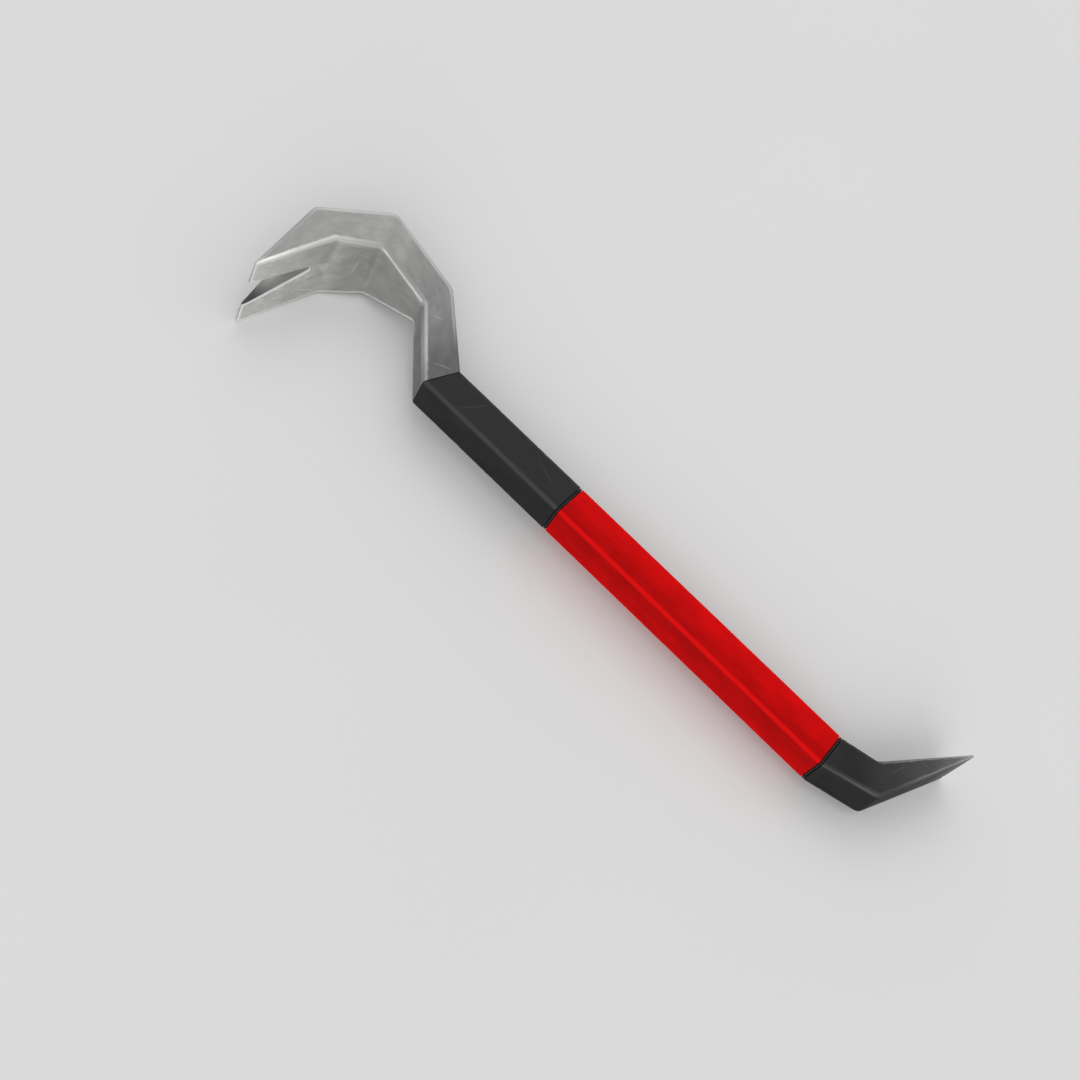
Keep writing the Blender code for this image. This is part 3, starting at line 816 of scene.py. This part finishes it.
def add_half_ring(shape, layers, station):
    """The vertices of half a ring and of its slot wall."""
    section = station.section
    across = (section.outer - section.inner).normalized()
    up = (section.inner - PRONG_TIPS.inner).dot(blade_up)
    outline = half_outline(station, up)
    run = [0.0]
    for first, second in zip(outline, outline[1:]):
        run.append(run[-1] + math.dist(first, second))
    edges = [(run[start], run[start + EDGE_STEPS], 0.0) for start in (OUTER_EDGE_START, INNER_EDGE_START)]
    if station.slotted:
        edges.append((run[RING_POINTS - 1], run[RING_POINTS], SLOT_WEAR_LOSS))
    verts = []
    for i, ((depth, width), length) in enumerate(zip(outline, run)):
        place = middle(section) + across * depth
        vert = shape.verts.new((place.x, place.y, width))
        vert[layers.straight] = Vector((station.along, depth, width)) / MM
        from_edges = [max(start - length, length - end, 0.0) + loss for start, end, loss in edges]
        vert[layers.edge] = min(from_edges + [station.along]) / MM
        past_edge = length - run[INNER_EDGE_START + EDGE_STEPS]
        vert[layers.inside] = min(1.0, max(0.0, 0.5 + past_edge / INSIDE_BLEND))
        vert[layers.in_slot] = float(i >= RING_POINTS and width > WELD)
        vert[layers.shown] = station.shown
        verts.append(vert)
    return verts


print("values at each point:", ", ".join(Layers._fields))

# %% [markdown]
# Rings are joined into half a bar, which is mirrored in the hook's plane and welded, so both halves match
# before any dents are made. An open run gets a cap at each end, and a closed one, for a tube, is joined back
# to its first ring.

# %% Weave the rings into a bar


def weave(stations, closed=False):
    """A welded bmesh of the bar through these stations, and its layers of point values."""
    shape = bmesh.new()
    floats = shape.verts.layers.float
    layers = Layers(
        shape.verts.layers.float_vector.new("straight_mm"),
        floats.new("edge_mm"),
        floats.new("inside"),
        floats.new("in_slot"),
        floats.new("shown"),
    )
    rings = [add_half_ring(shape, layers, station) for station in stations]
    pairs = list(zip(rings, rings[1:]))
    slotted = [station.slotted for station in stations]
    if closed:
        pairs.append((rings[-1], rings[0]))
    for i, (first, second) in enumerate(pairs):
        last = len(first) if slotted[i] and slotted[(i + 1) % len(rings)] else RING_POINTS - 1
        for j in range(last):
            k = (j + 1) % len(first)
            shape.faces.new((first[j], first[k], second[k], second[j]))
    if not closed:
        for ring, is_slotted in ((rings[0], slotted[0]), (rings[-1], slotted[-1])):
            shape.faces.new(ring if is_slotted else ring[:RING_POINTS])
    loose = [vert for vert in shape.verts if not vert.link_faces]
    bmesh.ops.delete(shape, geom=loose, context="VERTS")
    everything = shape.verts[:] + shape.edges[:] + shape.faces[:]
    bmesh.ops.mirror(shape, geom=everything, axis="Z", merge_dist=WELD)
    bmesh.ops.remove_doubles(shape, verts=shape.verts, dist=WELD)
    bmesh.ops.dissolve_degenerate(shape, edges=shape.edges, dist=WELD / 10)
    bmesh.ops.recalc_face_normals(shape, faces=shape.faces)
    for vert in shape.verts:
        vert[layers.straight].z = vert.co.z / MM
    return shape, layers


print(f"points within {WELD / MM:.3f} mm of each other are welded")

# %% [markdown]
# No forging is perfectly flat. Low waves from the hammer and the grinder bend the reflections, and blows
# leave small nicks in the edges. Both only ever take material away.

# %% Waves and nicks
ON_EDGE_MM = 0.3  # how near to an edge a nick's middle lies
NICK_RADII = (1.2 * MM, 2.8 * MM)
NICK_DEPTHS = (0.1 * MM, 0.3 * MM)


def make_uneven(shape, layers, wave_mm, depth_mm):
    """Sinks the shown surface in low waves of this length and depth."""
    shape.normal_update()
    for vert in shape.verts:
        wave = 1 + noise.noise(vert[layers.straight] / wave_mm)
        vert.co -= vert.normal * wave * depth_mm / 2 * MM * vert[layers.shown]


def nick_edges(shape, layers, count, seed):
    """Dents 2 to 6 mm across in the shown edges, at places drawn with this seed."""
    draw = random.Random(seed)
    shape.normal_update()
    tree = kdtree.KDTree(len(shape.verts))
    for i, vert in enumerate(shape.verts):
        tree.insert(vert.co, i)
    tree.balance()
    shape.verts.ensure_lookup_table()
    on_edge = [v.index for v in shape.verts if v[layers.edge] < ON_EDGE_MM and v[layers.shown] == 1.0]
    for index in draw.sample(on_edge, count):
        centre = shape.verts[index]
        inwards = -centre.normal.copy()
        radius = draw.uniform(*NICK_RADII)
        depth = draw.uniform(*NICK_DEPTHS)
        for _, near, distance in tree.find_range(centre.co.copy(), radius):
            fall = (1 - (distance / radius) ** 2) ** 2
            shape.verts[near].co += inwards * depth * fall * shape.verts[near][layers.shown]


print(f"a nick is {NICK_DEPTHS[0] / MM:.1f} to {NICK_DEPTHS[1] / MM:.1f} mm deep")

# %% [markdown]
# A woven shape becomes an object on the bar's axes. It takes its node's place and its finish, and round parts
# are shaded smooth while edges that turn sharply stay crisp. Points that come out a little beyond the solids'
# box are put back on its faces.

# %% Turn a shape into a piece of the bar
SHARP_EDGE = math.radians(38)


def place_piece(name, mesh, node, slot):
    """Adds an object for this mesh that stands for a node of the frame."""
    piece = bpy.data.objects.new(name, mesh)
    scene.collection.objects.link(piece)
    mesh.transform(bar_place)
    for vert in mesh.vertices:
        vert.co = [min(max(c, low), high) for c, low, high in zip(vert.co, cad_low, cad_high)]
    mesh.shade_smooth()
    mesh.set_sharp_from_angle(angle=SHARP_EDGE)
    mesh.materials.clear()
    mesh.materials.append(finishes[slot])
    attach(piece, "root")
    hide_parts(node)
    print(f"{name}: {len(mesh.polygons)} faces in place of {node}")


print(f"edges that turn by more than {math.degrees(SHARP_EDGE):.0f} degrees stay crisp")

# %% [markdown]
# Inside the shaft both forged ends go on as a square core: the claw's tang goes down into the sleeve, and the
# chisel's shank runs up through the grip into the same sleeve. The sleeve and the grip are tubes over those
# cores, with a narrow gap all round.

# %% The cores inside the shaft
FIT = 0.3 * MM  # gap between neighbouring pieces
WALL = 2.2 * MM  # of the sleeve and of the grip
CORE_EDGE = 1.0 * MM
CORE_CHAMFER = 1.5 * MM

core_depth = shaft_depth - 2 * WALL - 2 * FIT
core_width = shaft_width - 2 * WALL - 2 * FIT


def core_run(start, end, lean=0.0):
    """The sections of a core, from its shoulder to its chamfered end."""
    chamfer = math.copysign(CORE_CHAMFER, end - start)
    return [
        across_shaft(start, core_depth, core_width, CORE_EDGE, lean),
        across_shaft(end - chamfer, core_depth, core_width, CORE_EDGE),
        inset(across_shaft(end, core_depth, core_width, CORE_EDGE), CORE_CHAMFER),
    ]


def stations_along(sections, shown=1.0, start=0.0):
    """Stations with their distance along the run."""
    along = start
    stations = []
    for before, section in zip([sections[0]] + sections, sections):
        along += (middle(section) - middle(before)).length
        stations.append(Station(section, along, False, shown))
    return stations


print(f"a core is {core_depth / MM:.1f} x {core_width / MM:.1f} mm inside a wall of {WALL / MM:.1f} mm")

# %% [markdown]
# The claw head is forged in one with its tang. The slotted blade comes first, with close sections round the
# root of the slot, then the eased bends of the shoulder and the crown, then the neck, the mitred shoulder and
# the tang.

# %% The claw head
SHAFT_EDGE = 1.6 * MM
MITRE_LEAN = 8.0 * MM / shaft_depth  # slope of the mitre between claw and sleeve
TANG_END = 46.0 * MM
TIP_ROUNDING = 0.4 * MM
MITRE_ROUNDING = 0.3 * MM
ROOT_STEPS = 6
RAMP_STEP = 0.9 * MM  # between the sections where the bevels run out
RAMP_SECTIONS = 6

quarter_turn = [i / ROOT_STEPS * math.pi / 2 for i in range(ROOT_STEPS + 1)]
blade_places = [TIP_ROUNDING + i * RUN_STEP for i in range(int(slot_root_middle / RUN_STEP))]
blade_places += [slot_root_middle + SLOT_ROOT_RADIUS * math.sin(angle) for angle in quarter_turn]
blade = rounded_end(blade_section(0.0), blade_up, TIP_ROUNDING)
blade += [blade_section(up) for up in blade_places]
after_root = [blade_section(slot_end + (i + 1) * RAMP_STEP) for i in range(RAMP_SECTIONS)]
mitre = across_shaft(0.0, shaft_depth, shaft_width, SHAFT_EDGE, MITRE_LEAN)
hook = eased([PRONG_TIPS, CLAW_SHOULDER, CROWN_FRONT, CROWN_BACK, mitre])[1:-1]
neck_up = (middle(CROWN_BACK) - middle(mitre)).normalized()
mitre_end = rounded_end(mitre, neck_up, MITRE_ROUNDING)[::-1]
claw_stations = [station._replace(slotted=True) for station in stations_along(blade)]
claw_stations += stations_along(
    filled([blade[-1]] + after_root + hook + mitre_end)[1:], start=claw_stations[-1].along
)
claw_length = claw_stations[-1].along
claw_stations += stations_along(core_run(0.0, TANG_END, MITRE_LEAN), shown=0.0, start=claw_length)
shape, layers = weave(claw_stations)
make_uneven(shape, layers, wave_mm=14.0, depth_mm=0.1)
nick_edges(shape, layers, count=26, seed=3)
claw_mesh = mesh_of("forged_claw", shape)
print(f"the claw is {claw_length / MM:.0f} mm from the prongs to the sleeve")

# %% [markdown]
# The chisel bar is forged in one with its shank. Its distance along the bar is counted from the chisel's
# edge, where the finish is ground bright.

# %% The chisel bar
CHISEL_SHOULDER = 284.0 * MM
SHANK_START = 48.0 * MM

shoulder = across_shaft(CHISEL_SHOULDER, shaft_depth, shaft_width, SHAFT_EDGE)
chisel_up = (middle(HEEL) - middle(CHISEL_TIP)).normalized()
chisel = rounded_end(CHISEL_TIP, chisel_up, TIP_ROUNDING)
chisel += eased([CHISEL_TIP, HEEL, shoulder])[1:-1]
chisel += rounded_end(shoulder, Vector((1, 0)), MITRE_ROUNDING)[::-1]
chisel_stations = stations_along(filled(chisel))
chisel_length = chisel_stations[-1].along
chisel_stations += stations_along(core_run(CHISEL_SHOULDER, SHANK_START), shown=0.0, start=chisel_length)
shape, layers = weave(chisel_stations)
make_uneven(shape, layers, wave_mm=12.0, depth_mm=0.08)
nick_edges(shape, layers, count=14, seed=5)
chisel_mesh = mesh_of("forged_chisel", shape)
print(f"the chisel is {chisel_length / MM:.0f} mm from its edge to the grip")

# %% [markdown]
# The sleeve, the grip and the seals are tubes. A tube is woven as one closed run: along the outside with its
# two rounded ends, and back through the bore. The sleeve's upper end leans like the claw's mitre, and the
# lean fades out along its first stretch.

# %% The run of a tube
LEAN_FADES = 24.0 * MM


def tube_stations(start, end, drawn_in, rounding, lean=0.0):
    """Stations along the outside of a tube and back through its bore."""

    def lean_at(x):
        return lean * max(0.0, 1 - (x - start) / LEAN_FADES)

    def outside(x, by):
        return inset(across_shaft(x, shaft_depth, shaft_width, SHAFT_EDGE, lean_at(x)), by)

    def bore(x):
        return across_shaft(x, core_depth + 2 * FIT, core_width + 2 * FIT, CORE_EDGE + FIT, lean_at(x))

    angles = [i / ROUNDING_STEPS * math.pi / 2 for i in range(ROUNDING_STEPS + 1)]
    bends = [(rounding * (1 - math.cos(angle)), rounding * (1 - math.sin(angle))) for angle in angles]
    first = [outside(start + move, drawn_in + by) for move, by in bends]
    last = [outside(end - move, drawn_in + by) for move, by in bends]
    straight = [outside(start + LEAN_FADES, drawn_in)] if lean else []
    outer = filled(first + straight + last[::-1])
    counted_from = chisel_length + CHISEL_SHOULDER
    stations = [Station(section, counted_from - middle(section).x, False, 1.0) for section in outer]
    stations += [Station(bore(x), counted_from - x, False, 0.0) for x in (end, start)]
    return stations


mitre_gap = FIT * math.hypot(1.0, MITRE_LEAN)
print(f"the gap at the mitre is {mitre_gap / MM:.2f} mm along the shaft")

# %% [markdown]
# The sleeve could be cut from drawn tube, the grip moulded, and the seals punched from sheet rubber. They all
# share the shaft's outline, so the bar is flush from end to end, and only the seals lie a little lower.

# %% The sleeve, the grip and the seals
SLEEVE_END = 94.2 * MM
SLEEVE_ROUNDING = 0.3 * MM
GRIP_ROUNDING = 0.5 * MM
SEAL_LENGTH = 1.2 * MM
SEAL_INSET = 0.25 * MM
SEAL_ROUNDING = 0.35 * MM

seal_start = SLEEVE_END + FIT
grip_start = seal_start + SEAL_LENGTH + FIT
grip_end = CHISEL_SHOULDER - 2 * FIT - SEAL_LENGTH

shape, layers = weave(tube_stations(mitre_gap, SLEEVE_END, 0.0, SLEEVE_ROUNDING, MITRE_LEAN), closed=True)
make_uneven(shape, layers, wave_mm=16.0, depth_mm=0.04)
nick_edges(shape, layers, count=10, seed=8)
sleeve_mesh = mesh_of("sleeve_tube", shape)

shape, layers = weave(tube_stations(grip_start, grip_end, 0.0, GRIP_ROUNDING), closed=True)
make_uneven(shape, layers, wave_mm=18.0, depth_mm=0.12)
place_piece("vinyl_grip", mesh_of("vinyl_grip", shape), "grip_sleeve", "red_vinyl")

for name, node, start in (
    ("upper_seal_ring", "grip_seal_upper", seal_start),
    ("lower_seal_ring", "grip_seal_lower", grip_end + FIT),
):
    shape, _ = weave(tube_stations(start, start + SEAL_LENGTH, SEAL_INSET, SEAL_ROUNDING), closed=True)
    place_piece(name, mesh_of(name, shape), node, "black_rubber")

# %% [markdown]
# The pins' holes are drilled last, as in the workshop: one straight drill through the sleeve's lower wall and
# on through the tang or the shank, and a countersink that breaks the edge of the hole. The drill is a profile
# spun round its axis.

# %% A drill for the pins
PIN_RADIUS = 3.0 * MM
HOLE_SIDES = 48
COUNTERSINK = 0.45 * MM


def drill(place):
    """A drill for one pin, with its countersink: from below the underside to the gap above the core."""
    radius = PIN_RADIUS + FIT
    underside = -shaft_width / 2
    top = core_width / 2 + FIT / 2
    profile = [
        (0.0, top),
        (radius, top),
        (radius, underside + COUNTERSINK),
        (radius + 2 * COUNTERSINK, underside - COUNTERSINK),
        (0.0, underside - COUNTERSINK),
    ]
    shape = bmesh.new()
    points = [shape.verts.new((r, 0.0, z)) for r, z in profile]
    lines = [shape.edges.new(pair) for pair in zip(points, points[1:])]
    bmesh.ops.spin(
        shape, geom=points + lines, axis=(0, 0, 1), cent=(0, 0, 0), angle=2 * math.pi, steps=HOLE_SIDES
    )
    bmesh.ops.remove_doubles(shape, verts=shape.verts, dist=WELD)
    bmesh.ops.recalc_face_normals(shape, faces=shape.faces)
    tool = bpy.data.objects.new("drill", mesh_of("drill", shape))
    tool.location = (place, 0.0, 0.0)
    scene.collection.objects.link(tool)
    return tool


print(f"the drill is {2 * (PIN_RADIUS + FIT) / MM:.1f} mm wide")

# %% [markdown]
# A Boolean is the right tool for a round hole in a flat face. The drills are only helpers, so they are
# removed again.

# %% Drill the holes
CLAW_PIN_PLACES = (16.0 * MM, 34.0 * MM)
SHANK_PIN_PLACES = (60.0 * MM, 78.0 * MM)


def drilled(mesh, places):
    """The mesh with pin holes cut at these places along the shaft."""
    blank = bpy.data.objects.new("blank", mesh)
    scene.collection.objects.link(blank)
    tools = [drill(place) for place in places]
    for tool in tools:
        cut = blank.modifiers.new("hole", "BOOLEAN")
        cut.operation = "DIFFERENCE"
        cut.solver = "EXACT"
        cut.object = tool
    bpy.context.view_layer.update()
    graph = bpy.context.evaluated_depsgraph_get()
    made = bpy.data.meshes.new_from_object(blank.evaluated_get(graph))
    made.name = mesh.name
    for helper in tools + [blank]:
        bpy.data.objects.remove(helper)
    return made


sleeve_holes = CLAW_PIN_PLACES + SHANK_PIN_PLACES
place_piece("forged_claw", drilled(claw_mesh, CLAW_PIN_PLACES), "claw_head", "bare_forged_steel")
place_piece("forged_chisel", drilled(chisel_mesh, SHANK_PIN_PLACES), "chisel_bar", "blackened_steel")
place_piece("sleeve_tube", drilled(sleeve_mesh, sleeve_holes), "socket_sleeve", "blackened_steel")

# %% [markdown]
# Each dowel pin has a threaded hole in its lower end, so that a screw can draw it out. The thread is a helix,
# so the wall of the hole is a grid of points whose radius follows a ridge that climbs one pitch each turn.

# %% The thread in a pin
THREAD_CORE = 1.65 * MM
THREAD_DEPTH = 0.35 * MM
THREAD_PITCH = 0.7 * MM
THREAD_MOUTH = 0.8 * THREAD_PITCH  # over which the thread fades out at the pin's end
THREAD_LENGTH = 9.0 * MM
THREAD_STEPS = 7  # rings of points in one pitch
thread_rings = round(THREAD_LENGTH / THREAD_PITCH * THREAD_STEPS)


def thread_radius(height, turn):
    """The wall of the threaded hole: a ridge to the core radius once in each pitch, fading at the mouth."""
    phase = (height / THREAD_PITCH - turn) % 1.0
    groove = THREAD_DEPTH * abs(2 * phase - 1)
    mouth = max(0.0, 1 - height / THREAD_MOUTH)
    return THREAD_CORE + max(groove, THREAD_DEPTH * mouth)


print(f"{thread_rings} rings of points for {THREAD_LENGTH / THREAD_PITCH:.1f} turns of thread")

# %% [markdown]
# The pin itself is turned on a lathe, with a chamfer at both ends. It is made as rings of points: down the
# outside, up the thread, and to the point of the cone that a drill leaves at the end of its hole.

# %% The dowel pins
PIN_CHAMFER = 0.5 * MM
PIN_RECESS = 0.4 * MM  # how far the pin's end lies inside the sleeve's face
PIN_SIDES = 40


def dowel_pin(name, node, place):
    """Adds one pin, at this place along the shaft."""
    bottom = -shaft_width / 2 + PIN_RECESS
    length = core_width / 2 - FIT - bottom
    profile = [
        (0.0, length),
        (PIN_RADIUS - PIN_CHAMFER, length),
        (PIN_RADIUS, length - PIN_CHAMFER),
        (PIN_RADIUS, PIN_CHAMFER),
        (PIN_RADIUS - PIN_CHAMFER, 0.0),
    ]
    # None stands for the thread's radius, which changes round the ring
    profile += [(None, i / thread_rings * THREAD_LENGTH) for i in range(thread_rings + 1)]
    profile.append((0.0, THREAD_LENGTH + THREAD_CORE / 2))
    shape = bmesh.new()
    straight = shape.verts.layers.float_vector.new("straight_mm")
    edge = shape.verts.layers.float.new("edge_mm")
    rings = []
    for plain_radius, height in profile:
        points = []
        for side in range(PIN_SIDES):
            turn = side / PIN_SIDES
            radius = thread_radius(height, turn) if plain_radius is None else plain_radius
            angle = turn * 2 * math.pi
            across = radius * math.cos(angle)
            vert = shape.verts.new((place + across, radius * math.sin(angle), bottom + height))
            vert[straight] = Vector((radius, across, height)) / MM
            vert[edge] = abs(PIN_RADIUS - PIN_CHAMFER - radius) / MM
            points.append(vert)
        rings.append(points)
    for first, second in zip(rings, rings[1:]):
        for side in range(PIN_SIDES):
            shape.faces.new((first[side - 1], first[side], second[side], second[side - 1]))
    bmesh.ops.remove_doubles(shape, verts=shape.verts, dist=WELD)
    bmesh.ops.recalc_face_normals(shape, faces=shape.faces)
    place_piece(name, mesh_of(name, shape), node, "ground_pin_steel")


for end, places in (("claw", CLAW_PIN_PLACES), ("shank", SHANK_PIN_PLACES)):
    for height, place in zip(("upper", "lower"), places):
        dowel_pin(f"{end}_dowel_{height}", f"{end}_pin_{height}", place)
